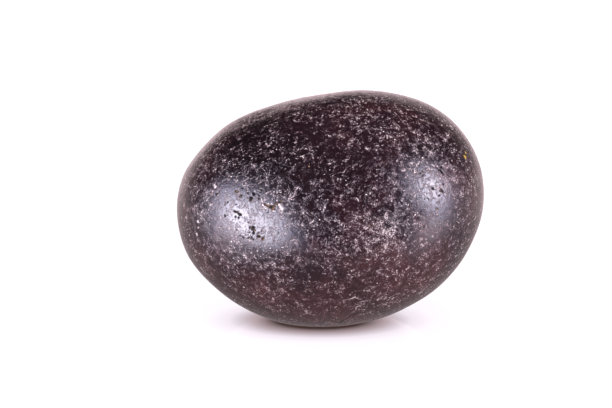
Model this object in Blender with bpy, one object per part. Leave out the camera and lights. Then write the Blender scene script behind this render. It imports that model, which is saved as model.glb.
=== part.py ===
# A tumbled pebble of lignite: one egg-shaped stone that leans up to the right and rests on a small
# worn flat. Metres, +Z up, +X towards the blunt raised end, the front towards -Y. The origin is
# the middle of the bounding box at floor level.

import math
import random

import bmesh
import bpy
from mathutils import Vector, noise
from mathutils.bvhtree import BVHTree
from mathutils.geometry import closest_point_on_tri

MM = 0.001

# The overall form, an egg that is slightly fuller than an ellipsoid
HALF_LENGTH = 15.4 * MM
HALF_DEPTH = 12.2 * MM
HALF_HEIGHT = 11.6 * MM
FULLNESS = 2.08                 # 2 is an ellipsoid, more is boxier
HEIGHT_TAPER = 0.013            # how much taller the right end is
DEPTH_TAPER = 0.02              # how much thicker it is
BOW = 0.9 * MM                  # both ends rise by this against the middle
LEAN = math.radians(9.0)        # the right end is raised by this

# Broad worn faces: the way each one faces, and how far from the stone's middle it lies
WORN_FACES = (
    (Vector((-0.30, 0.0, 0.95)), 11.35 * MM),
    (Vector((-0.62, 0.0, -0.78)), 13.52 * MM),
)
WORN_BLEND = 1.2 * MM           # how gradually a worn face joins the rest

# The small flat that the stone rests on, this far under the middle
FOOT_LEVEL = -11.45 * MM
FOOT_BLEND = 0.12 * MM

# Swellings and hollows a few millimetres across: the direction from the middle, then the radius
# and the height in millimetres, where a hollow's height is negative
SWELLS = (
    (Vector((-0.92, 0.10, 0.38)), 3.6, -0.12),
    (Vector((-0.66, 0.19, 0.73)), 4.0, 0.11),
    (Vector((-0.07, 0.26, 0.96)), 4.2, -0.12),
    (Vector((0.71, 0.18, 0.68)), 4.2, 0.07),
    (Vector((0.93, 0.10, 0.36)), 3.4, -0.05),
    (Vector((0.97, -0.07, -0.25)), 3.4, -0.11),
    (Vector((0.77, -0.17, -0.62)), 3.6, 0.08),
    (Vector((0.47, -0.23, -0.85)), 3.4, 0.05),
    (Vector((-0.60, -0.21, -0.77)), 3.4, -0.09),
    (Vector((-0.12, -0.26, -0.96)), 3.2, -0.08),
    (Vector((-0.50, -0.86, 0.10)), 2.8, -0.08),
    (Vector((0.45, 0.80, 0.30)), 5.0, -0.10),
    (Vector((-0.40, 0.85, -0.20)), 5.0, 0.08),
)

# Uneven tumbling, too gentle to read as lumps
WAVE_HEIGHT = 0.05 * MM
WAVE_LENGTH = 6.0 * MM

# The mesh
BALL_LEVELS = 5
REFINE_LEVELS = 3
REFINE_MARGIN = 0.07 * MM       # how far past a mark's rim the mesh is made finer
RUN_SPACING = 0.15 * MM         # a groove is a run of points no farther apart than this

# The rims of the marks
RIM_ROUGHNESS = 0.25            # how ragged, as a share of the radius
RIM_GRAIN = 0.35 * MM
FLOOR_SHARE = 0.35              # how much of the radius is the mark's flat floor

# Marks on the front are placed as they are seen by a viewer this far off and this far above level:
# millimetres to the right of the stone's middle and above it.
SIGHT_DISTANCE = 272.0 * MM
SIGHT_ABOVE = math.radians(15.0)

# Pits on the front: right, up, radius and depth in millimetres
FRONT_PITS = (
    # the cluster above the gouge
    (-7.70, 1.25, 0.20, 0.18),
    (-8.00, 0.75, 0.28, 0.24),
    (-9.00, 1.05, 0.18, 0.14),
    (-9.45, 1.45, 0.20, 0.14),
    (-6.90, 1.65, 0.19, 0.13),
    (-7.15, 0.95, 0.17, 0.13),
    # the chain below it
    (-7.80, -2.20, 0.25, 0.22),
    (-7.65, -2.60, 0.17, 0.15),
    (-7.25, -3.10, 0.21, 0.18),
    (-6.80, -3.30, 0.19, 0.15),
    (-9.65, -5.00, 0.19, 0.15),
    # the left shoulder
    (-11.40, 1.30, 0.22, 0.14),
    (-12.80, 0.15, 0.20, 0.12),
    # the right shoulder
    (8.90, 3.25, 0.20, 0.15),
    (9.15, 3.45, 0.16, 0.13),
    (11.00, 3.95, 0.19, 0.16),
    (10.15, 1.75, 0.17, 0.13),
    (12.10, 3.15, 0.18, 0.11),
    # beside the foot
    (4.50, -10.45, 0.22, 0.15),
)

# Grooves on the front: half width and depth in millimetres, then points to the right and up
FRONT_GROOVES = (
    # the gouge in the middle of the left shoulder
    (0.16, 0.17, ((-6.60, 0.15), (-6.20, -0.05), (-5.75, -0.10), (-5.50, 0.20), (-4.85, 0.45))),
    # a short slanted nick beside it
    (0.15, 0.15, ((-9.65, -0.55), (-9.05, -0.90))),
    # two nicks on the right shoulder
    (0.15, 0.15, ((10.80, 3.70), (11.25, 3.15))),
    (0.13, 0.12, ((10.95, 1.75), (11.25, 1.40))),
    # the crack beside the foot
    (0.12, 0.14, ((0.85, -11.65), (1.30, -11.40), (1.90, -11.05), (2.65, -10.75))),
)

# Pits that the front view doesn't show, scattered over the rest of the stone
HIDDEN_PITS = 14
HIDDEN_RADIUS = (0.20 * MM, 0.32 * MM)
HIDDEN_DEPTH = (0.5, 0.8)       # as a share of the radius
HIDDEN_SPACING = 2.5 * MM
SCATTER_SEED = 23

STONE_COLOUR = (0.045, 0.027, 0.031, 1.0)
STONE_ROUGHNESS = 0.36


def clear_scene():
    for thing in list(bpy.data.objects):
        bpy.data.objects.remove(thing, do_unlink=True)


def stone_material():
    material = bpy.data.materials.new("polished_lignite")
    material.use_nodes = True
    shader = material.node_tree.nodes["Principled BSDF"]
    shader.inputs["Base Color"].default_value = STONE_COLOUR
    shader.inputs["Roughness"].default_value = STONE_ROUGHNESS
    shader.inputs["Metallic"].default_value = 0.0
    return material


# How much of value is over zero, with a rounded corner of the given half width
def rise_above(value, blend):
    if value <= -blend:
        return 0.0
    if value >= blend:
        return value
    return (value + blend) ** 2 / (4.0 * blend)


# The point of the leaning egg that belongs to a direction of the unit ball
def egg_point(direction):
    reach = sum(abs(part) ** FULLNESS for part in direction) ** (-1.0 / FULLNESS)
    along = HALF_LENGTH * reach * direction.x
    deep = HALF_DEPTH * reach * direction.y * (1.0 + DEPTH_TAPER * direction.x)
    high = HALF_HEIGHT * reach * direction.z * (1.0 + HEIGHT_TAPER * direction.x)
    high += BOW * (direction.x ** 2 - 1.0 / 3.0)
    return Vector((
        along * math.cos(LEAN) - high * math.sin(LEAN),
        deep,
        along * math.sin(LEAN) + high * math.cos(LEAN),
    ))


def worn_point(direction):
    point = egg_point(direction)
    for way, distance in WORN_FACES:
        facing = way.normalized()
        point -= facing * rise_above(point.dot(facing) - distance, WORN_BLEND)
    return point


# The stone's surface before any pit is cut: the worn egg with its swellings, hollows and waves
def surface_point(direction, swell_centres):
    point = worn_point(direction)
    outward = point.normalized()
    lift = WAVE_HEIGHT * noise.noise(point / WAVE_LENGTH)
    for centre, radius, height in swell_centres:
        share = (point - centre).length / radius
        if share < 1.0:
            lift += height * (1.0 - share * share) ** 2
    return point + outward * lift


# The direction of the unit ball that belongs to a direction from the stone's middle
def ball_direction(way):
    along = way.x * math.cos(LEAN) + way.z * math.sin(LEAN)
    high = way.z * math.cos(LEAN) - way.x * math.sin(LEAN)
    return Vector((along / HALF_LENGTH, way.y / HALF_DEPTH, high / HALF_HEIGHT)).normalized()


def find_swell_centres():
    return [(worn_point(ball_direction(way)), radius * MM, height * MM) for way, radius, height in SWELLS]


# Finds where a viewer in front sees a place of the surface
class FrontView:
    def __init__(self, points, faces):
        self.tree = BVHTree.FromPolygons(points, faces)
        self.back = Vector((0.0, -math.cos(SIGHT_ABOVE), math.sin(SIGHT_ABOVE)))
        self.right = Vector((1.0, 0.0, 0.0))
        self.up = self.back.cross(self.right)
        self.eye = self.back * SIGHT_DISTANCE

    def find(self, right, up):
        target = self.right * right * MM + self.up * up * MM
        hit = self.tree.ray_cast(self.eye, (target - self.eye).normalized())
        return hit[0]

    def sees(self, point, normal):
        return normal.dot((self.eye - point).normalized()) > 0.0


# Fills the gaps between a groove's places
def spread_along(places):
    spread = [places[0]]
    for (right, up), (next_right, next_up) in zip(places, places[1:]):
        steps = math.ceil(math.hypot(next_right - right, next_up - up) * MM / RUN_SPACING)
        for step in range(1, steps + 1):
            share = step / steps
            spread.append((right + (next_right - right) * share, up + (next_up - up) * share))
    return spread


# A mark is a run of points on the surface with a radius and a depth; a pit has one point
def front_marks(view):
    marks = []
    for right, up, radius, depth in FRONT_PITS:
        marks.append(([view.find(right, up)], radius * MM, depth * MM))
    for half_width, depth, places in FRONT_GROOVES:
        run = [view.find(right, up) for right, up in spread_along(places)]
        marks.append((run, half_width * MM, depth * MM))
    return marks


def hidden_marks(view, swell_centres):
    rng = random.Random(SCATTER_SEED)
    marks = []
    while len(marks) < HIDDEN_PITS:
        direction = Vector([rng.gauss(0.0, 1.0) for _ in range(3)]).normalized()
        radius = rng.uniform(*HIDDEN_RADIUS)
        depth = radius * rng.uniform(*HIDDEN_DEPTH)
        point = surface_point(direction, swell_centres)
        near_foot = point.z < FOOT_LEVEL + 2.0 * HIDDEN_RADIUS[1]
        crowded = any((point - run[0]).length < HIDDEN_SPACING for run, _, _ in marks)
        if view.sees(point, direction) or near_foot or crowded:
            continue
        marks.append(([point], radius, depth))
    return marks


def distance_to_run(point, run):
    return min((point - place).length for place in run)


# How deep the stone is cut at a point, with a ragged rim and a small rough floor
def cut_depth(point, marks):
    ragged = 1.0 + RIM_ROUGHNESS * noise.noise(point / RIM_GRAIN)
    deepest = 0.0
    for run, radius, depth in marks:
        share = distance_to_run(point, run) / (radius * ragged)
        if share < 1.0:
            slope = max(0.0, (share - FLOOR_SHARE) / (1.0 - FLOOR_SHARE))
            deepest = max(deepest, depth * (1.0 - slope * slope * (3.0 - 2.0 * slope)))
    return deepest


# Splits the triangles of the unit ball that a mark touches, one level at a time
def refine_near(ball, marks, swell_centres):
    for _ in range(REFINE_LEVELS):
        points = {vert: surface_point(vert.co, swell_centres) for vert in ball.verts}
        touched = {face for face in ball.faces if is_touched([points[vert] for vert in face.verts], marks)}
        edges = [edge for edge in ball.edges if touched.intersection(edge.link_faces)]
        bmesh.ops.subdivide_edges(ball, edges=edges, cuts=1, use_grid_fill=True)
        bmesh.ops.triangulate(ball, faces=[face for face in ball.faces if len(face.verts) > 3])
        for vert in ball.verts:
            vert.co.normalize()


def is_touched(corners, marks):
    size = (corners[1] - corners[0]).length
    for run, radius, _ in marks:
        reach = radius + REFINE_MARGIN
        for place in run:
            if (corners[0] - place).length > reach + 2.0 * size:
                continue
            if (closest_point_on_tri(place, *corners) - place).length < reach:
                return True
    return False


def shape_stone(ball, marks, swell_centres):
    for vert in ball.verts:
        vert.co = surface_point(vert.co, swell_centres)
    ball.normal_update()
    cuts = [(vert, vert.normal.copy(), cut_depth(vert.co, marks)) for vert in ball.verts]
    for vert, normal, depth in cuts:
        vert.co -= normal * depth
    for vert in ball.verts:
        vert.co.z = FOOT_LEVEL + rise_above(vert.co.z - FOOT_LEVEL, FOOT_BLEND)


# Brings the middle of the bounding box to the origin and the foot to the floor
def stand_on_floor(ball):
    lowest = min(vert.co.z for vert in ball.verts)
    middle_x = 0.5 * (min(vert.co.x for vert in ball.verts) + max(vert.co.x for vert in ball.verts))
    middle_y = 0.5 * (min(vert.co.y for vert in ball.verts) + max(vert.co.y for vert in ball.verts))
    for vert in ball.verts:
        vert.co -= Vector((middle_x, middle_y, lowest))


def build_pebble():
    swell_centres = find_swell_centres()
    ball = bmesh.new()
    bmesh.ops.create_icosphere(ball, subdivisions=BALL_LEVELS, radius=1.0)
    points = [surface_point(vert.co, swell_centres) for vert in ball.verts]
    faces = [[vert.index for vert in face.verts] for face in ball.faces]
    view = FrontView(points, faces)
    marks = front_marks(view) + hidden_marks(view, swell_centres)
    refine_near(ball, marks, swell_centres)
    shape_stone(ball, marks, swell_centres)
    stand_on_floor(ball)

    mesh = bpy.data.meshes.new("lignite_pebble")
    ball.to_mesh(mesh)
    ball.free()
    mesh.shade_smooth()
    pebble = bpy.data.objects.new("lignite_pebble", mesh)
    pebble.data.materials.append(stone_material())
    bpy.context.scene.collection.objects.link(pebble)
    return pebble


def main():
    clear_scene()
    build_pebble()


main()
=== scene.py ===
import math
import random

import bmesh
import bpy
from mathutils import Matrix, Vector, noise
from mathutils.bvhtree import BVHTree
from mathutils.geometry import closest_point_on_tri


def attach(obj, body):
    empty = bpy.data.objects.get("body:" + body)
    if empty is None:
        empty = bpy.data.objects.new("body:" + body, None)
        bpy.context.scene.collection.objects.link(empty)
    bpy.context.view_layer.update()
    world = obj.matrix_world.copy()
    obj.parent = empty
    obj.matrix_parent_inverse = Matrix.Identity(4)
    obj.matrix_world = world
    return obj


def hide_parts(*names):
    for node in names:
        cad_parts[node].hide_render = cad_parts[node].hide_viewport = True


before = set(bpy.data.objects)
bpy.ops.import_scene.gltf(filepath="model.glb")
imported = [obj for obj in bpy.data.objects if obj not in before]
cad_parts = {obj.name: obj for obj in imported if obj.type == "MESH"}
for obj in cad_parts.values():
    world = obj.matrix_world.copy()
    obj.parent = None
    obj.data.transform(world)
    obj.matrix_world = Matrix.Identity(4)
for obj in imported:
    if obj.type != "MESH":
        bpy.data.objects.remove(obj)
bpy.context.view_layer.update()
mm = 0.001

# The form of the stone, the same as the solid's
egg = {
    "halfLength": 15.4 * mm,
    "halfDepth": 12.2 * mm,
    "halfHeight": 11.6 * mm,
    "fullness": 2.08,           # 2 is an ellipsoid, more is boxier
    "heightTaper": 0.013,
    "depthTaper": 0.02,
    "bow": 0.9 * mm,            # both ends rise by this against the middle
    "lean": math.radians(9.0),  # the right end is raised by this
    "wornFaces": [              # the way each faces, and its distance from the middle
        (Vector((-0.30, 0.0, 0.95)), 11.35 * mm),
        (Vector((-0.62, 0.0, -0.78)), 13.52 * mm),
    ],
    "wornBlend": 1.2 * mm,
    "footLevel": -11.45 * mm,
    "footBlend": 0.12 * mm,
    "swells": [                 # direction from the middle, radius and height in mm
        (Vector((-0.92, 0.10, 0.38)), 3.6, -0.12),
        (Vector((-0.66, 0.19, 0.73)), 4.0, 0.11),
        (Vector((-0.07, 0.26, 0.96)), 4.2, -0.12),
        (Vector((0.71, 0.18, 0.68)), 4.2, 0.07),
        (Vector((0.93, 0.10, 0.36)), 3.4, -0.05),
        (Vector((0.97, -0.07, -0.25)), 3.4, -0.11),
        (Vector((0.77, -0.17, -0.62)), 3.6, 0.08),
        (Vector((0.47, -0.23, -0.85)), 3.4, 0.05),
        (Vector((-0.60, -0.21, -0.77)), 3.4, -0.09),
        (Vector((-0.12, -0.26, -0.96)), 3.2, -0.08),
        (Vector((-0.50, -0.86, 0.10)), 2.8, -0.08),
        (Vector((0.45, 0.80, 0.30)), 5.0, -0.10),
        (Vector((-0.40, 0.85, -0.20)), 5.0, 0.08),
    ],
    "waveHeight": 0.05 * mm,
    "waveLength": 6.0 * mm,
}

# The place the stone is seen from, which also gives the marks their places
sight = {
    "distance": 272.0 * mm,
    "above": math.radians(15.0),
    "aimLeft": 2.5 * mm,        # the view's centre is this far left of the stone's middle
    "aimUp": 0.2 * mm,
    "lens": 160.0,
}


def riseAbove(value, blend):    # how much of value is over zero, with a rounded corner
    if value <= -blend:
        return 0.0
    if value >= blend:
        return value
    return (value + blend) ** 2 / (4.0 * blend)


def smoothStep(low, high, value):
    share = max(0.0, min(1.0, (value - low) / (high - low)))
    return share * share * (3.0 - 2.0 * share)


def eggPoint(way):
    reach = sum(abs(part) ** egg["fullness"] for part in way) ** (-1.0 / egg["fullness"])
    along = egg["halfLength"] * reach * way.x
    deep = egg["halfDepth"] * reach * way.y * (1.0 + egg["depthTaper"] * way.x)
    high = egg["halfHeight"] * reach * way.z * (1.0 + egg["heightTaper"] * way.x)
    high += egg["bow"] * (way.x ** 2 - 1.0 / 3.0)
    lean = egg["lean"]
    return Vector((along * math.cos(lean) - high * math.sin(lean), deep,
                   along * math.sin(lean) + high * math.cos(lean)))


def wornPoint(way):
    point = eggPoint(way)
    for face, distance in egg["wornFaces"]:
        facing = face.normalized()
        point -= facing * riseAbove(point.dot(facing) - distance, egg["wornBlend"])
    return point


def ballWay(way):               # the unit ball's direction for a direction from the stone's middle
    lean = egg["lean"]
    along = way.x * math.cos(lean) + way.z * math.sin(lean)
    high = way.z * math.cos(lean) - way.x * math.sin(lean)
    onBall = Vector((along / egg["halfLength"], way.y / egg["halfDepth"], high / egg["halfHeight"]))
    return onBall.normalized()


swellCentres = [(wornPoint(ballWay(way)), radius * mm, height * mm) for way, radius, height in egg["swells"]]


def stonePoint(way):            # the surface before any mark is cut
    point = wornPoint(way)
    lift = egg["waveHeight"] * noise.noise(point / egg["waveLength"])
    for centre, radius, height in swellCentres:
        share = (point - centre).length / radius
        if share < 1.0:
            lift += height * (1.0 - share * share) ** 2
    return point + point.normalized() * lift


# Where a viewer in front sees a place, given in mm right of and above the stone's middle
viewBack = Vector((0.0, -math.cos(sight["above"]), math.sin(sight["above"])))
viewRight = Vector((1.0, 0.0, 0.0))
viewUp = viewBack.cross(viewRight)
eye = viewBack * sight["distance"]


# How often each mesh's triangles are split
fineness = {
    "sight": 6,                 # of the stone that seenPoint looks at
    "skin": 7,
    "marks": 2,                 # again at every mark
    "markMargin": 0.02 * mm,    # and this far past its rim
}


def makeBall(levels):
    ball = bmesh.new()
    bmesh.ops.create_icosphere(ball, subdivisions=levels, radius=1.0)
    return ball


def sightTree():
    ball = makeBall(fineness["sight"])
    points = [stonePoint(vert.co) for vert in ball.verts]
    tree = BVHTree.FromPolygons(points, [[vert.index for vert in face.verts] for face in ball.faces])
    ball.free()
    return tree


seen = sightTree()


def seenPoint(right, up):
    target = (viewRight * right + viewUp * up) * mm
    return seen.ray_cast(eye, (target - eye).normalized())[0]


# Cuts in the surface. Places are mm right and up as seen from the front, sizes are mm.
cuts = {
    "pits": [                   # right, up, radius, depth, rust
        (-7.70, 1.25, 0.18, 0.16, 0.0), (-8.00, 0.75, 0.26, 0.22, 0.1), (-8.22, 1.31, 0.11, 0.08, 0.0),
        (-9.00, 1.05, 0.16, 0.13, 0.2), (-9.25, 0.95, 0.09, 0.07, 0.0), (-9.45, 1.45, 0.19, 0.12, 0.7),
        (-8.83, 1.80, 0.11, 0.09, 0.0), (-6.90, 1.65, 0.18, 0.13, 0.1), (-7.15, 1.05, 0.12, 0.10, 0.0),
        (-7.15, 0.75, 0.11, 0.09, 0.0), (-10.65, 0.15, 0.10, 0.07, 0.0), (-10.35, 0.40, 0.10, 0.07, 0.0),
        (-9.10, -0.85, 0.15, 0.13, 0.2), (-9.25, -1.20, 0.12, 0.10, 0.0), (-9.55, -1.10, 0.11, 0.08, 0.0),
        (-10.60, -1.00, 0.13, 0.07, 0.0), (-8.20, -1.65, 0.10, 0.07, 0.0),
        (-7.80, -2.20, 0.23, 0.20, 0.0), (-8.10, -2.20, 0.11, 0.08, 0.0), (-7.65, -2.50, 0.14, 0.13, 1.0),
        (-7.72, -2.72, 0.13, 0.12, 0.0), (-8.15, -2.70, 0.11, 0.08, 0.0), (-7.25, -2.73, 0.11, 0.07, 0.0),
        (-7.23, -3.09, 0.19, 0.17, 0.5), (-6.78, -3.30, 0.18, 0.15, 0.9), (-8.25, -3.25, 0.12, 0.10, 0.0),
        (-7.95, -3.20, 0.11, 0.09, 0.0), (-7.75, -3.38, 0.09, 0.07, 0.0), (-9.10, -3.05, 0.10, 0.08, 0.0),
        (-8.75, -3.18, 0.11, 0.09, 0.0), (-5.65, -3.50, 0.10, 0.08, 0.3), (-9.65, -5.00, 0.17, 0.14, 0.2),
        (-11.40, 1.25, 0.21, 0.13, 0.0), (-11.60, 2.60, 0.13, 0.09, 0.0), (-12.05, 1.35, 0.12, 0.09, 0.0),
        (-12.05, 0.85, 0.11, 0.08, 0.0), (-12.78, 0.15, 0.18, 0.11, 0.0), (-12.95, 1.65, 0.10, 0.08, 0.0),
        (-4.60, 0.65, 0.11, 0.09, 0.0), (-4.38, 0.40, 0.10, 0.08, 0.0), (-2.80, 0.78, 0.10, 0.08, 0.0),
        (8.85, 3.30, 0.12, 0.10, 0.1), (9.15, 3.50, 0.12, 0.10, 0.8), (9.15, 3.10, 0.12, 0.09, 0.3),
        (11.00, 3.92, 0.16, 0.13, 0.0), (10.78, 4.25, 0.10, 0.08, 0.0), (11.12, 3.36, 0.15, 0.13, 0.0),
        (12.10, 3.15, 0.14, 0.10, 0.0), (11.85, 3.05, 0.10, 0.07, 0.0), (13.10, 4.10, 0.12, 0.08, 0.0),
        (13.10, 2.45, 0.12, 0.08, 0.0), (10.15, 1.75, 0.14, 0.11, 0.1), (11.20, 2.20, 0.10, 0.08, 0.0),
        (10.85, 1.08, 0.11, 0.09, 0.0), (9.75, 0.70, 0.09, 0.07, 0.0), (9.35, 0.72, 0.08, 0.06, 0.0),
        (10.60, -0.27, 0.13, 0.08, 0.8), (8.90, -0.75, 0.12, 0.08, 0.7), (7.75, -0.10, 0.11, 0.07, 0.6),
        (9.20, -2.05, 0.12, 0.08, 0.4), (4.50, -10.45, 0.20, 0.13, 0.1),
    ],
    "grooves": [                # half width, depth, rust, then places
        (0.13, 0.16, 0.6, [(-6.60, 0.15), (-6.20, -0.05), (-5.75, -0.10)]),
        (0.21, 0.22, 0.9, [(-5.95, -0.12), (-5.72, -0.20)]),
        (0.10, 0.13, 0.6, [(-5.72, -0.10), (-5.50, 0.20), (-5.20, 0.40), (-4.85, 0.45)]),
        (0.09, 0.12, 0.3, [(-9.70, -0.52), (-9.42, -0.62), (-9.30, -0.62)]),
        (0.12, 0.16, 0.1, [(-9.28, -0.74), (-9.05, -0.90)]),
        (0.12, 0.13, 0.0, [(10.80, 3.70), (11.05, 3.45), (11.25, 3.15)]),
        (0.11, 0.11, 0.4, [(10.95, 1.72), (11.22, 1.42)]),
        (0.08, 0.12, 0.0, [(0.85, -11.68), (1.30, -11.38), (1.58, -11.20), (1.90, -11.05), (2.20, -10.88),
                           (2.65, -10.76)]),
    ],
    "deeper": 1.3,              # all depths are multiplied by this
    "floorShare": 0.15,         # how much of a cut's radius is its floor
    "floorRoughness": 0.6,
    "floorGrain": 0.11 * mm,
    "rimRoughness": 0.9,
    "rimGrain": 0.13 * mm,
}

# Small pits all over the stone, and larger ones where the front view doesn't reach
scatter = {
    "seed": 23,
    "largePits": 40,
    "largeRadius": (0.14, 0.30),
    "smallPits": 420,
    "smallRadius": (0.06, 0.11),
    "depth": (0.45, 0.8),       # as a share of the radius
    "rust": (-1.2, 0.9),        # below zero is none
    "frontEdge": 0.1,           # a place faces the viewer if the cosine is over this
    "largeSpacing": 1.4 * mm,
    "smallSpacing": 0.3 * mm,
}


def spreadAlong(places, spacing=0.05):
    spread = [places[0]]
    for (right, up), (nextRight, nextUp) in zip(places, places[1:]):
        steps = math.ceil(math.hypot(nextRight - right, nextUp - up) / spacing)
        for step in range(1, steps + 1):
            share = step / steps
            spread.append((right + (nextRight - right) * share, up + (nextUp - up) * share))
    return spread


def markList():                 # each mark: points on the surface, radius, depth, rust
    marks = []
    for right, up, radius, depth, rust in cuts["pits"]:
        marks.append(([seenPoint(right, up)], radius * mm, depth * mm, rust))
    for halfWidth, depth, rust, places in cuts["grooves"]:
        run = [seenPoint(right, up) for right, up in spreadAlong(places)]
        marks.append((run, halfWidth * mm, depth * mm, rust))
    return marks + scatteredMarks(marks)


def scatteredMarks(placed):
    rng = random.Random(scatter["seed"])
    taken = [point for run, _, _, _ in placed for point in run]
    marks = []
    for kind, spacing in (("large", scatter["largeSpacing"]), ("small", scatter["smallSpacing"])):
        made = 0
        while made < scatter[kind + "Pits"]:
            way = Vector([rng.gauss(0.0, 1.0) for _ in range(3)]).normalized()
            radius = rng.uniform(*scatter[kind + "Radius"]) * mm
            depth = radius * rng.uniform(*scatter["depth"])
            rust = max(0.0, rng.uniform(*scatter["rust"]))
            point = stonePoint(way)
            inFront = way.dot((eye - point).normalized()) > scatter["frontEdge"]
            if kind == "large" and inFront or any((point - other).length < spacing for other in taken):
                continue
            taken.append(point)
            marks.append(([point], radius, depth, rust))
            made += 1
    return marks


class MarkGrid:                 # finds the marks near a point without looking at all of them
    def __init__(self, marks, cell=0.6 * mm):
        self.cell = cell
        self.boxes = {}
        for mark in marks:
            for point in mark[0]:
                self.boxes.setdefault(self.key(point), []).append((point, mark))

    def key(self, point):
        return tuple(math.floor(part / self.cell) for part in point)

    def near(self, point):
        i, j, k = self.key(point)
        found = []
        for a in (-1, 0, 1):
            for b in (-1, 0, 1):
                for c in (-1, 0, 1):
                    found += self.boxes.get((i + a, j + b, k + c), ())
        return found


def refineNearMarks(ball, grid):
    for _ in range(fineness["marks"]):
        points = {vert: stonePoint(vert.co) for vert in ball.verts}
        touched = set()
        for face in ball.faces:
            corners = [points[vert] for vert in face.verts]
            for place, mark in grid.near(sum(corners, Vector()) / 3.0):
                if (closest_point_on_tri(place, *corners) - place).length < mark[1] + fineness["markMargin"]:
                    touched.add(face)
                    break
        edges = [edge for edge in ball.edges if touched.intersection(edge.link_faces)]
        bmesh.ops.subdivide_edges(ball, edges=edges, cuts=1, use_grid_fill=True)
        bmesh.ops.triangulate(ball, faces=[face for face in ball.faces if len(face.verts) > 3])
        for vert in ball.verts:
            vert.co.normalize()


def cutAt(point, grid):         # how deep the cut is, how rusty its floor and how much of a cut it is
    ragged = 1.0 + cuts["rimRoughness"] * noise.noise(point / cuts["rimGrain"])
    uneven = 1.0 + cuts["floorRoughness"] * noise.noise(point / cuts["floorGrain"])
    deepest, rusty, shade = 0.0, 0.0, 0.0
    for place, (_, radius, depth, rust) in grid.near(point):
        share = (point - place).length / (radius * ragged)
        if share < 1.0:
            fall = 1.0 - smoothStep(cuts["floorShare"], 1.0, share)
            if depth * fall > deepest:
                deepest, rusty, shade = depth * fall, rust * fall, fall
    return deepest * uneven * cuts["deeper"], rusty, shade


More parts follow.
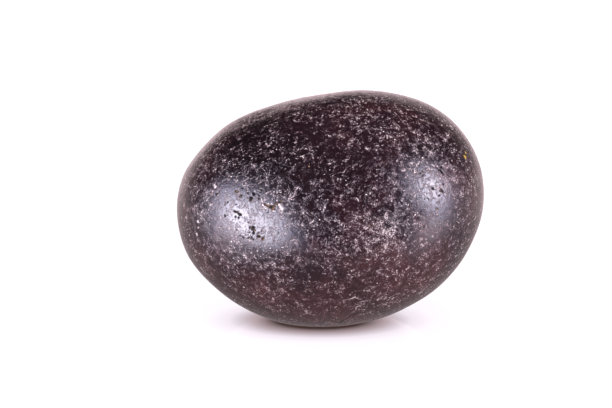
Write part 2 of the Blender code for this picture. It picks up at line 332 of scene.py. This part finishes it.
# Worn and crushed places, and patches of painted light and shade, again as seen from the front: right, up,
# radius in mm, amount
wear = {
    # the tone patches: lighter and warmer at the bottom, which the floor lights, and blacker at the upper
    # left, are painted light and shade on top of the stone's own changes of tone
    "tonesAndShade": [                  # warmer and lighter brown, or blacker below zero
        (-7.0, 5.5, 8.0, -0.45), (0.0, 3.0, 5.0, -0.15), (-1.0, -11.0, 9.0, 0.35), (8.5, -6.5, 7.0, 0.28),
        (3.5, -5.8, 5.5, 0.20), (7.5, -9.0, 5.0, 0.18), (-6.5, -9.0, 5.0, 0.15), (10.5, -2.0, 5.0, 0.06),
        (3.0, 0.5, 4.5, 0.15),
        (5.5, 10.0, 4.5, 0.12), (-5.0, 9.6, 3.0, 0.20), (-11.0, -5.5, 6.0, 0.20), (13.0, 2.0, 5.0, 0.20),
    ],
    "patches": [                # where the fine scuffs are dense, or sparse below zero
        (2.4, 7.8, 4.0, 0.18), (-1.8, 8.0, 3.0, -0.24), (1.8, 6.0, 2.5, -0.15), (10.8, 6.1, 3.0, 0.2),
        (2.5, -5.5, 3.5, 0.15), (4.8, -9.8, 3.5, 0.30), (8.5, -8.0, 3.5, 0.20), (-6.5, -8.0, 3.5, 0.15),
        (6.0, 8.0, 4.5, 0.15), (9.5, 3.0, 4.5, 0.30), (5.3, -2.8, 3.0, 0.70),
        (5.0, -3.0, 5.5, 0.25), (-0.5, 2.5, 5.5, -0.16), (-2.5, -7.0, 4.0, -0.15), (9.0, -5.0, 4.0, 0.15),
        (-8.0, 7.5, 4.0, -0.20), (-13.0, 0.0, 3.0, 0.20), (-10.5, -5.5, 4.0, 0.15),
        (-8.0, -1.5, 4.5, -0.10), (10.0, 1.5, 3.0, -0.12),
    ],
    "bruises": [                # crushed pale spots
        (-11.6, 1.95, 0.32, 1.0), (-11.85, 1.45, 0.22, 0.8), (-5.15, 0.02, 0.30, 1.0),
        (-6.85, 0.12, 0.20, 1.0), (-6.55, -0.22, 0.19, 0.9), (-4.9, -0.3, 0.17, 0.8),
        (-5.45, 0.52, 0.16, 0.8), (-6.3, 0.22, 0.15, 0.85), (-4.2, 0.75, 0.14, 0.8),
        (-6.1, -0.42, 0.18, 0.9), (-5.72, -0.55, 0.16, 0.85), (-6.0, 0.18, 0.13, 0.8),
        (-4.45, 0.12, 0.18, 0.85), (-6.45, 0.28, 0.12, 0.75), (-4.75, 0.75, 0.13, 0.7),
        (-3.75, 1.0, 0.14, 0.8), (-3.6, 1.5, 0.12, 0.8), (-3.4, 1.8, 0.12, 0.7), (-13.3, -1.6, 0.22, 1.0),
        (-13.3, -2.2, 0.20, 0.9), (-13.4, -2.9, 0.25, 0.9), (-13.3, -3.5, 0.16, 0.7),
        (-13.5, -4.6, 0.16, 0.8), (-11.0, -5.3, 0.20, 0.8), (-11.1, -5.8, 0.18, 0.8),
        (-6.8, -7.85, 0.16, 0.8), (-8.75, -7.35, 0.15, 0.7), (-2.9, -1.9, 0.18, 0.8),
        (-4.85, -1.3, 0.16, 0.7), (-0.2, -4.15, 0.16, 0.7), (1.65, -4.9, 0.17, 0.7),
        (1.4, -6.05, 0.15, 0.7), (1.85, -7.6, 0.15, 0.7), (5.2, -1.8, 0.40, 0.15), (5.6, -2.4, 0.42, 0.15),
        (5.0, -3.1, 0.38, 0.15), (4.6, -3.8, 0.30, 0.15), (6.0, -3.4, 0.26, 0.15), (10.2, -2.95, 0.18, 0.9),
        (9.45, -3.3, 0.17, 0.8), (8.7, -5.6, 0.16, 0.7), (10.9, -5.4, 0.22, 0.8), (8.1, -6.75, 0.17, 0.8),
        (4.65, -9.4, 0.17, 0.9), (4.7, -9.95, 0.14, 0.8), (5.5, -9.65, 0.13, 0.7), (3.25, -9.5, 0.20, 0.8),
        (10.65, 3.95, 0.16, 0.9), (-12.25, 1.35, 0.12, 0.9), (-12.25, 0.75, 0.12, 0.8),
    ],
    "ochres": [                 # yellow stains
        (13.4, 4.95, 0.26, 1.0), (13.45, 5.35, 0.16, 0.9),
    ],
    "scratches": [              # half width, amount, places
        (0.09, 1.0, [(1.25, -9.45), (1.95, -9.28), (2.35, -9.12), (2.75, -9.22)]),
        (0.06, 0.7, [(-13.65, -4.3), (-13.3, -4.9), (-12.95, -5.0)]),
        (0.08, 0.8, [(-4.2, 0.72), (-3.95, 0.85), (-3.68, 1.05), (-3.6, 1.5), (-3.35, 1.85)]),
    ],
    "rimRoughness": 0.9,
    "rimGrain": 0.16 * mm,
    "coreShare": 0.5,           # how much of a spot's radius has its full amount
}


def spotList(rows):
    return [(seenPoint(right, up), radius * mm, amount) for right, up, radius, amount in rows]


def scratchList():
    spots = []
    for halfWidth, amount, places in wear["scratches"]:
        spots += [(seenPoint(right, up), halfWidth * mm, amount) for right, up in spreadAlong(places)]
    return spots


def wearAt(point, patches):
    total = 0.0
    for centre, radius, amount in patches:
        share = (point - centre).length / radius
        if share < 1.0:
            total += amount * (1.0 - share * share) ** 2
    return total


def bruiseAt(point, spots):
    ragged = 1.0 + wear["rimRoughness"] * noise.noise(point / wear["rimGrain"])
    amount = 0.0
    for centre, radius, strength in spots:
        share = (point - centre).length / (radius * ragged)
        if share < 1.0:
            amount = max(amount, strength * (1.0 - smoothStep(wear["coreShare"], 1.0, share)))
    return amount


def writeFloats(mesh, name, values):
    mesh.attributes.new(name, "FLOAT", "POINT").data.foreach_set("value", values)


def makePebble():
    marks = markList()
    grid = MarkGrid(marks)
    tonesAndShade = spotList(wear["tonesAndShade"])
    patches = spotList(wear["patches"])
    bruises = spotList(wear["bruises"]) + scratchList()
    ochres = spotList(wear["ochres"])

    ball = makeBall(fineness["skin"])
    paintedMarks = [([point], radius, 0.0, 0.0) for point, radius, _ in bruises + ochres]
    refineNearMarks(ball, MarkGrid(marks + paintedMarks))
    for vert in ball.verts:
        vert.co = stonePoint(vert.co)
    ball.normal_update()

    cutList = []
    values = {"pit": [], "rust": [], "wear": [], "bruise": [], "toneAndShade": [], "ochre": []}
    for vert in ball.verts:
        depth, rust, shade = cutAt(vert.co, grid)
        cutList.append(vert.normal * depth)
        values["pit"].append(shade)
        values["rust"].append(rust)
        values["toneAndShade"].append(wearAt(vert.co, tonesAndShade))
        values["wear"].append(wearAt(vert.co, patches))
        values["bruise"].append(bruiseAt(vert.co, bruises))
        values["ochre"].append(bruiseAt(vert.co, ochres))
    for vert, cut in zip(ball.verts, cutList):
        vert.co -= cut
        vert.co.z = egg["footLevel"] + riseAbove(vert.co.z - egg["footLevel"], egg["footBlend"])

    shift = standOnFloor(ball)
    mesh = bpy.data.meshes.new("pebble_skin")
    ball.to_mesh(mesh)
    ball.free()
    for name, numbers in values.items():
        writeFloats(mesh, name, numbers)
    mesh.shade_smooth()
    pebble = bpy.data.objects.new("pebble_skin", mesh)
    bpy.context.scene.collection.objects.link(pebble)
    return pebble, shift


def standOnFloor(ball):         # the stone's box gets its middle at the origin and its foot at zero
    low = [min(vert.co[axis] for vert in ball.verts) for axis in range(3)]
    high = [max(vert.co[axis] for vert in ball.verts) for axis in range(3)]
    shift = Vector((-0.5 * (low[0] + high[0]), -0.5 * (low[1] + high[1]), -low[2]))
    for vert in ball.verts:
        vert.co += shift
    return shift


class Nodes:                    # a short way to write a material's nodes
    def __init__(self, tree):
        self.tree = tree

    def add(self, kind, *inputs, out=0, **settings):
        node = self.tree.nodes.new(kind)
        for name, value in settings.items():
            setattr(node, name, value)
        for place, value in enumerate(inputs):
            self.feed(node.inputs[place], value)
        return node.outputs[out]

    def feed(self, socket, value):
        if isinstance(value, bpy.types.NodeSocket):
            self.tree.links.new(value, socket)
        elif value is not None:
            socket.default_value = value

    def math(self, operation, first, second=None, third=None):
        return self.add("ShaderNodeMath", first, second, third, operation=operation)

    def vector(self, operation, first, second=None, third=None):
        out = 1 if operation in ("DOT_PRODUCT", "LENGTH") else 0
        return self.add("ShaderNodeVectorMath", first, second, third, operation=operation, out=out)

    def scaled(self, vector, factor):
        node = self.tree.nodes.new("ShaderNodeVectorMath")
        node.operation = "SCALE"
        self.feed(node.inputs["Vector"], vector)
        self.feed(node.inputs["Scale"], factor)
        return node.outputs["Vector"]

    def ramp(self, value, low, high, toLow=0.0, toHigh=1.0):
        ends = (low, high, toLow, toHigh)
        return self.add("ShaderNodeMapRange", value, *ends, interpolation_type="SMOOTHSTEP")

    def colours(self, value, stops):
        node = self.tree.nodes.new("ShaderNodeValToRGB")
        elements = node.color_ramp.elements
        while len(elements) < len(stops):
            elements.new(1.0)
        for element, (place, colour) in zip(elements, stops):
            element.position = place
            element.color = (*colour, 1.0)
        self.feed(node.inputs[0], value)
        return node.outputs["Color"]

    def mix(self, share, first, second):
        node = self.tree.nodes.new("ShaderNodeMix")
        node.data_type = "RGBA"
        sockets = {socket.identifier: socket for socket in node.inputs}
        self.feed(sockets["Factor_Float"], share)
        for name, value in (("A_Color", first), ("B_Color", second)):
            self.feed(sockets[name], (*value, 1.0) if isinstance(value, tuple) else value)
        return next(socket for socket in node.outputs if socket.identifier == "Result_Color")

    def noise(self, place, scale, detail=2.0, roughness=0.5, out="Fac"):
        node = self.tree.nodes.new("ShaderNodeTexNoise")
        self.feed(node.inputs["Vector"], place)
        self.feed(node.inputs["Scale"], scale)
        self.feed(node.inputs["Detail"], detail)
        self.feed(node.inputs["Roughness"], roughness)
        return node.outputs[out]

    def attribute(self, name):
        node = self.tree.nodes.new("ShaderNodeAttribute")
        node.attribute_name = name
        return node.outputs["Fac"]


# The stone's look. Patterns count in mm. A noise is its scale, detail and roughness, and a ramp
# is the two ends that it starts from and the two that it leads to.
stoneLook = {
    "body": [(0.0, (0.0026, 0.0008, 0.0018)), (0.4, (0.0080, 0.0024, 0.0044)),
             (0.7, (0.024, 0.0070, 0.0085)), (1.0, (0.046, 0.0135, 0.0155))],
    "bodyTint": 0.37,           # where the colours above stand without the tint patches
    "bodyNoise": (0.35, 3.0, 0.55),
    "bodySpread": 0.8,

    # how densely it is scuffed
    "clumpNoise": (0.5, 3.0, 0.6),
    "clumps": (0.34, 0.66, 0.0, 1.1),

    # paleness runs from 0 to 1, and its colour grows by powers: most of the stone is dark, a little white
    "paleness": -0.05,
    "grainNoise": (1.4, 4.0, 1.0),
    "paleGrain": 5.0,
    "paleLine": 0.84,
    "paleWear": 0.45,
    "grainEnds": (-0.3, 0.88),  # grain, scratches and wear together stay between these
    "crushNoise": (4.5, 2.0, 0.6),
    "crushed": (0.38, 0.52, 0.55, 1.0),     # breaks up the crushed spots
    "paleBruise": 0.95,
    "bruiseGrain": 1.5,
    "powers": 4.6,
    "powerLost": 0.007,         # the faintest scuffs don't show
    "palest": 0.64,
    "paleTint": [(0.30, (1.0, 0.65, 0.76)), (1.0, (1.0, 0.91, 0.88))],

    # pits, painted near-black: partly their dark floors, partly painted shade in the hollows; and stains
    "pitFloorAndShade": (0.004, 0.002, 0.002),
    "rust": (0.040, 0.014, 0.005),
    "rustShare": 0.8,
    "crumbs": (0.42, 0.27, 0.15),
    "crumbNoise": (3.4, 2.0, 0.6),
    "crumbShare": (0.49, 0.56, 0.0, 0.95),
    "ochre": (0.30, 0.21, 0.03),
    "ochreShare": 0.9,

    # gloss and fine relief
    "roughness": (0.35, 0.95, 0.13, 0.50),  # from the polished body to the palest scuffs
    "hazeNoise": (0.6, 4.0, 0.65),
    "haze": (0.3, 0.7, -0.03, 0.06),
    "ior": 1.42,
    "reliefNoise": (2.0, 4.0, 0.75),
    "relief": 1.4,              # beside the scuffs' own, which is 1
    "bumpStrength": 0.8,
    "bumpDepth": 0.03 * mm,

    # layers of short scratches: cell size, half width, half length in mm, share kept, strength
    "scratchLayers": [
        (0.26, 0.045, 0.10, 0.55, 0.70),
        (0.38, 0.040, 0.20, 0.75, 0.85),
        (0.60, 0.038, 0.35, 0.75, 1.00),
        (1.00, 0.042, 0.55, 0.55, 1.00),
    ],
    "specks": (0.70, 0.070, 0.13, 0.45, 1.05),      # one more layer, the whitest
    "shakeNoise": (2.6, 2.0, 0.5),
    "shake": 0.16,              # bends their places, so that none is quite straight
    "bend": 0.55,               # how far a scratch curves, as a share of its half length
    "shortest": 0.3,            # as a share of the longest
    "faintest": 0.35,           # as a share of the brightest
    "lineEdge": (-0.15, 0.55),  # how softly a scratch ends, and how gradually scratches thin out
    "keptEdge": (-0.05, 0.12),
}


def scratchLayer(n, place, normal, dense, cell, halfWidth, halfLength, kept, strength):
    look = stoneLook
    voronoi = n.tree.nodes.new("ShaderNodeTexVoronoi")
    n.feed(voronoi.inputs["Vector"], place)
    n.feed(voronoi.inputs["Scale"], 1.0 / cell)
    chance = n.tree.nodes.new("ShaderNodeTexWhiteNoise")
    n.feed(chance.inputs["Vector"], n.vector("ADD", voronoi.outputs["Position"], (cell, 0.0, 0.0)))
    chances = n.tree.nodes.new("ShaderNodeSeparateColor")
    n.feed(chances.inputs[0], chance.outputs["Color"])
    first, second, third = chances.outputs

    # each cell has one scratch: a line along the surface through the cell's centre
    offset = n.vector("SUBTRACT", place, voronoi.outputs["Position"])
    way = n.vector("SUBTRACT", voronoi.outputs["Color"], (0.5, 0.5, 0.5))
    side = n.vector("NORMALIZE", n.vector("CROSS_PRODUCT", normal, way))
    run = n.vector("CROSS_PRODUCT", side, normal)
    shortest = halfLength * look["shortest"]
    reach = n.math("MULTIPLY_ADD", second, halfLength - shortest, shortest)
    along = n.math("DIVIDE", n.vector("DOT_PRODUCT", offset, run), reach)
    across = n.vector("DOT_PRODUCT", offset, side)
    curve = n.math("MULTIPLY", n.math("SUBTRACT", third, 0.5), look["bend"] * halfLength)
    across = n.math("ADD", across, n.math("MULTIPLY", n.math("MULTIPLY", along, along), curve))
    taper = n.math("SUBTRACT", 1.0, n.math("MULTIPLY", along, along))
    edge = n.math("DIVIDE", n.math("ABSOLUTE", across), halfWidth)
    line = n.ramp(n.math("SUBTRACT", taper, edge), *look["lineEdge"])
    keep = n.math("SUBTRACT", n.math("MULTIPLY", dense, kept), first)
    faintest = strength * look["faintest"]
    bright = n.math("MULTIPLY_ADD", third, strength - faintest, faintest)
    return n.math("MULTIPLY", n.math("MULTIPLY", line, n.ramp(keep, *look["keptEdge"])), bright)


def stonePaleness(n, place, normal):    # how pale each place is: grain, scratches, worn and crushed places
    look = stoneLook
    shake = n.vector("SUBTRACT", n.noise(place, *look["shakeNoise"], out="Color"), (0.5, 0.5, 0.5))
    bent = n.vector("ADD", place, n.scaled(shake, look["shake"]))
    clumps = n.ramp(n.noise(place, *look["clumpNoise"]), *look["clumps"])
    dense = n.math("ADD", clumps, n.attribute("wear"))
    lines = 0.0
    for layer in look["scratchLayers"]:
        lines = n.math("MAXIMUM", lines, scratchLayer(n, bent, normal, dense, *layer))

    grit = n.math("SUBTRACT", n.noise(bent, *look["grainNoise"]), 0.5)
    pale = n.math("MULTIPLY_ADD", grit, look["paleGrain"], look["paleness"])
    pale = n.math("MULTIPLY_ADD", lines, look["paleLine"], pale)
    pale = n.math("MULTIPLY_ADD", n.attribute("wear"), look["paleWear"], pale)
    darkest, palest = look["grainEnds"]
    pale = n.math("MINIMUM", n.math("MAXIMUM", pale, darkest), palest)
    crushed = n.ramp(n.noise(bent, *look["crushNoise"]), *look["crushed"])
    crushed = n.math("MULTIPLY", n.attribute("bruise"), crushed)
    uneven = n.math("MULTIPLY", grit, look["bruiseGrain"])
    bruise = n.math("MULTIPLY_ADD", crushed, look["paleBruise"], uneven)
    specks = scratchLayer(n, bent, normal, dense, *look["specks"])
    pale = n.math("MAXIMUM", pale, n.math("MAXIMUM", bruise, specks))
    return n.math("MINIMUM", pale, 1.0)


def stoneColour(n, place, pale):
    look = stoneLook
    power = n.math("EXPONENT", n.math("MULTIPLY", n.math("SUBTRACT", pale, 1.0), look["powers"]))
    power = n.math("MAXIMUM", n.math("SUBTRACT", power, look["powerLost"]), 0.0)
    warmth = n.math("SUBTRACT", n.noise(place, *look["bodyNoise"]), 0.5)
    warmth = n.math("MULTIPLY_ADD", warmth, look["bodySpread"], look["bodyTint"])
    # the tone patches add painted light and shade to the body: lighter at the bottom, blacker at the upper
    # left
    body = n.colours(n.math("ADD", warmth, n.attribute("toneAndShade")), look["body"])
    scuffs = n.scaled(n.colours(pale, look["paleTint"]), n.math("MULTIPLY", power, look["palest"]))
    # pits painted near-black: their dark floors and painted shade in the hollow
    colour = n.mix(n.attribute("pit"), n.vector("ADD", body, scuffs), look["pitFloorAndShade"])
    crumbs = n.ramp(n.noise(place, *look["crumbNoise"]), *look["crumbShare"])
    rust = n.mix(crumbs, look["rust"], look["crumbs"])
    colour = n.mix(n.math("MULTIPLY", n.attribute("rust"), look["rustShare"]), colour, rust)
    return n.mix(n.math("MULTIPLY", n.attribute("ochre"), look["ochreShare"]), colour, look["ochre"])


def stoneMaterial():
    look = stoneLook
    material = bpy.data.materials.new("tumbledLignite")
    material.use_nodes = True
    shader = material.node_tree.nodes["Principled BSDF"]
    n = Nodes(material.node_tree)
    mapping = n.tree.nodes.new("ShaderNodeMapping")
    n.feed(mapping.inputs["Vector"], n.tree.nodes.new("ShaderNodeTexCoord").outputs["Object"])
    mapping.inputs["Scale"].default_value = (1.0 / mm, 1.0 / mm, 1.0 / mm)
    place = mapping.outputs["Vector"]
    normal = n.tree.nodes.new("ShaderNodeNewGeometry").outputs["Normal"]
    pale = stonePaleness(n, place, normal)
    n.feed(shader.inputs["Base Color"], stoneColour(n, place, pale))

    haze = n.ramp(n.noise(place, *look["hazeNoise"]), *look["haze"])
    rough = n.math("ADD", n.ramp(pale, *look["roughness"]), haze)
    n.feed(shader.inputs["Roughness"], n.math("MAXIMUM", rough, n.attribute("pit")))
    shader.inputs["IOR"].default_value = look["ior"]

    # relief too fine for the mesh: uneven all over, and every scuff a little lower
    scuffed = n.math("MULTIPLY", n.math("MAXIMUM", pale, 0.0), -1.0)
    height = n.math("MULTIPLY_ADD", n.noise(place, *look["reliefNoise"]), look["relief"], scuffed)
    bump = n.tree.nodes.new("ShaderNodeBump")
    bump.inputs["Strength"].default_value = look["bumpStrength"]
    bump.inputs["Distance"].default_value = look["bumpDepth"]
    n.feed(bump.inputs["Height"], height)
    n.feed(shader.inputs["Normal"], bump.outputs["Normal"])
    return material


# The studio, in metres and degrees
studio = {
    "floorRadius": 1.2,
    "floorColour": (1.0, 0.985, 1.02),
    "floorShown": 0.10,         # how pale the floor's own colour is to the camera
    "floorBounce": 0.88,        # and to the light that it gives back to the stone
    "floorGloss": 0.05,

    # the floor's glow for the camera, white but for a painted contact shadow, a spot under the stone that is
    # darkest, a brown-black painted line, at its middle: share of the spot, colour
    "floorGlowAndShadow": [(0.39, (0.040, 0.018, 0.012)), (0.50, (0.27, 0.20, 0.21)), (0.60, (0.44, 0.35, 0.38)),
                  (0.80, (0.82, 0.75, 0.82)), (1.0, (0.93, 0.87, 0.92))],
    "shadowMiddle": (-0.0010, -0.0015, 0.0),
    "shadowSpot": (0.0115, 0.0075),   # half the spot's length and depth

    # how the stone's gloss shows the floor, with a painted shadow darkening it around the stone: its tint,
    # brightness beside the stone, more per metre, most
    "floorTint": (1.0, 0.80, 0.84),
    "floorNearShadowed": 0.33,
    "floorShadowRise": 12.0,
    "floorFar": 0.90,
    "floorFront": (-0.040, -0.034),     # gloss sees past the floor's front edge, to the lamps

    # what the stone's gloss shows of the room, by a direction's parts: X across, Y back, Z up
    "backdrop": 0.92,           # white behind the stone, seen in its rim and in the floor
    "backdropEdge": (0.55, 0.88),
    "backdropTop": (0.19, 0.29),        # where it fades out
    "backdropLean": (-0.15, 0.15, -0.140, 0.08),    # lower on the left, higher on the right
    "backdropLeft": (-0.27, -0.16, 0.10, 0.0),      # and higher again far to the left
    "backdropRight": (0.10, 0.45, 1.0, 0.3),        # dimmer far to the right
    "frontRoom": 0.022,         # the dim room in front and overhead
    "sideRoom": (-0.3, 0.3, 0.022, 0.24),           # paler towards the back
    "lowRoom": (-0.3, 0.0, 0.2, 1.0),               # dimmer below the floor's level
    "roomTint": (1.0, 0.78, 0.82),

    "ambient": (0.0, 1.0, 2.2, 3.9),    # soft light on matt places, from the horizon to overhead
    "ambientTint": (1.0, 0.94, 0.98),

    "boxes": [
        {"name": "leftBox", "azimuth": -54.5, "elevation": 1.0, "tilt": -40.0,
         "size": (1.12, 0.55), "radiance": 54.0},
        {"name": "rightBox", "azimuth": 68.0, "elevation": 16.0, "tilt": 15.0,
         "size": (0.39, 0.70), "radiance": 54.0},
    ],
    "boxDistance": 0.50,        # from the stone's middle
    # from a box's middle outwards
    "boxTints": [(0.0, (1.05, 0.98, 1.03)), (0.25, (1.00, 0.94, 1.12)), (0.6, (0.94, 0.90, 1.26))],
}


def makeFloor():
    disc = bmesh.new()
    bmesh.ops.create_circle(disc, cap_ends=True, radius=studio["floorRadius"], segments=96)
    mesh = bpy.data.meshes.new("studio_floor")
    disc.to_mesh(mesh)
    disc.free()
    floor = bpy.data.objects.new("studio_floor", mesh)
    material = bpy.data.materials.new("glossyFloor")
    material.use_nodes = True
    shader = material.node_tree.nodes["Principled BSDF"]
    shader.inputs["Roughness"].default_value = studio["floorGloss"]
    n = Nodes(material.node_tree)
    ray = n.tree.nodes.new("ShaderNodeLightPath")
    pale = n.math("MULTIPLY", ray.outputs["Is Diffuse Ray"], studio["floorBounce"])
    pale = n.math("MULTIPLY_ADD", ray.outputs["Is Camera Ray"], studio["floorShown"], pale)
    n.feed(shader.inputs["Base Color"], n.scaled(studio["floorColour"], pale))
    where = n.tree.nodes.new("ShaderNodeTexCoord").outputs["Object"]
    # painted contact shadow: the camera sees the floor's glow darkened in a spot under the stone
    shadowSpot = n.vector("DIVIDE", n.vector("SUBTRACT", where, studio["shadowMiddle"]), (*studio["shadowSpot"], 1.0))
    glow = n.colours(n.vector("LENGTH", shadowSpot), studio["floorGlowAndShadow"])
    n.feed(shader.inputs["Emission Color"], n.mix(ray.outputs["Is Camera Ray"], studio["floorTint"], glow))
    # for glossy rays the floor glows darker near the stone: a painted shadow seen in the stone's reflections
    away = n.vector("LENGTH", where)
    bright = n.math("MULTIPLY_ADD", away, studio["floorShadowRise"], studio["floorNearShadowed"])
    bright = n.math("MINIMUM", bright, studio["floorFar"])
    bright = n.math("MULTIPLY_ADD", ray.outputs["Is Glossy Ray"], bright, ray.outputs["Is Camera Ray"])
    n.feed(shader.inputs["Emission Strength"], bright)
    front = n.tree.nodes.new("ShaderNodeSeparateXYZ")
    n.feed(front.inputs[0], where)
    passing = n.math("MAXIMUM", ray.outputs["Is Glossy Ray"], ray.outputs["Is Shadow Ray"])
    passing = n.math("MULTIPLY", passing, n.ramp(front.outputs["Y"], *studio["floorFront"], 1.0, 0.0))
    edged = n.add("ShaderNodeMixShader", passing, shader.outputs["BSDF"], n.add("ShaderNodeBsdfTransparent"))
    n.feed(n.tree.nodes["Material Output"].inputs["Surface"], edged)
    mesh.materials.append(material)
    bpy.context.scene.collection.objects.link(floor)


def around(azimuth, elevation):  # azimuth 0 is the camera's side, 90 is to the right
    a, e = math.radians(azimuth), math.radians(elevation)
    return Vector((math.sin(a) * math.cos(e), -math.cos(a) * math.cos(e), math.sin(e)))


def makeSoftbox(box, middle):   # brighter and warmer in its middle, as a diffuser is
    light = bpy.data.lights.new(box["name"], "AREA")
    light.shape = "RECTANGLE"
    light.size, light.size_y = box["size"]
    light.energy = box["radiance"] * math.pi * box["size"][0] * box["size"][1]
    light.use_nodes = True
    n = Nodes(light.node_tree)
    across = n.tree.nodes.new("ShaderNodeNewGeometry").outputs["Parametric"]
    out = n.vector("LENGTH", n.vector("MULTIPLY_ADD", across, (2.0, 2.0, 0.0), (-1.0, -1.0, 0.0)))
    n.feed(n.tree.nodes["Emission"].inputs["Color"], n.colours(out, studio["boxTints"]))
    left = n.math("MAXIMUM", n.math("SUBTRACT", 1.0, out), 0.0)
    n.feed(n.tree.nodes["Emission"].inputs["Strength"], n.math("MULTIPLY", left, left))
    lamp = bpy.data.objects.new(box["name"], light)
    lamp.location = middle + around(box["azimuth"], box["elevation"]) * studio["boxDistance"]
    turn = (middle - lamp.location).to_track_quat("-Z", "Y").to_matrix()
    turn = turn @ Matrix.Rotation(math.radians(box["tilt"]), 3, "Z")
    lamp.rotation_euler = turn.to_euler()
    lamp.visible_camera = False
    lamp.visible_diffuse = False    # matt places are lit by the room's glow, which is softer
    bpy.context.scene.collection.objects.link(lamp)


def makeWorld():                # what each kind of ray meets: white, the room's glow or the room itself
    world = bpy.data.worlds.new("studioRoom")
    bpy.context.scene.world = world
    world.use_nodes = True
    world.node_tree.nodes.clear()
    n = Nodes(world.node_tree)
    way = n.tree.nodes.new("ShaderNodeSeparateXYZ")
    n.feed(way.inputs[0], n.tree.nodes.new("ShaderNodeTexCoord").outputs["Generated"])
    across, back, up = way.outputs
    lean = n.math("ADD", n.ramp(across, *studio["backdropLean"]), n.ramp(across, *studio["backdropLeft"]))
    low = n.ramp(n.math("SUBTRACT", up, lean), *studio["backdropTop"], 1.0, 0.0)
    behind = n.ramp(back, *studio["backdropEdge"], 0.0, studio["backdrop"])
    behind = n.math("MULTIPLY", behind, n.ramp(across, *studio["backdropRight"]))
    behind = n.math("ADD", n.ramp(back, *studio["sideRoom"]), behind)
    bright = n.math("MULTIPLY_ADD", behind, low, studio["frontRoom"])
    bright = n.math("MULTIPLY", bright, n.ramp(up, *studio["lowRoom"]))
    room = n.add("ShaderNodeBackground", (*studio["roomTint"], 1.0), bright)
    ambient = n.ramp(up, *studio["ambient"])
    glow = n.add("ShaderNodeBackground", (*studio["ambientTint"], 1.0), ambient)
    white = n.add("ShaderNodeBackground", (1.0, 1.0, 1.0, 1.0), 1.0)
    ray = n.tree.nodes.new("ShaderNodeLightPath")
    lit = n.add("ShaderNodeMixShader", ray.outputs["Is Diffuse Ray"], room, glow)
    shown = n.add("ShaderNodeMixShader", ray.outputs["Is Camera Ray"], lit, white)
    n.feed(n.tree.nodes.new("ShaderNodeOutputWorld").inputs["Surface"], shown)


def makeCamera(middle):
    data = bpy.data.cameras.new("photoView")
    data.lens = sight["lens"]
    data.clip_start = 0.01
    camera = bpy.data.objects.new("photoView", data)
    camera.location = middle + eye
    target = middle - viewRight * sight["aimLeft"] + viewUp * sight["aimUp"]
    camera.rotation_euler = (target - camera.location).to_track_quat("-Z", "Y").to_euler()
    bpy.context.scene.collection.objects.link(camera)
    bpy.context.scene.camera = camera


pebble, middle = makePebble()
print("pebble:", len(pebble.data.polygons), "triangles")
pebble.data.materials.append(stoneMaterial())
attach(pebble, "root")
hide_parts("lignite_pebble")

makeFloor()
for box in studio["boxes"]:
    makeSoftbox(box, middle)
makeWorld()
makeCamera(middle)
bpy.context.scene.view_settings.view_transform = "Standard"
print("studio: floor, two softboxes, backdrop and camera")
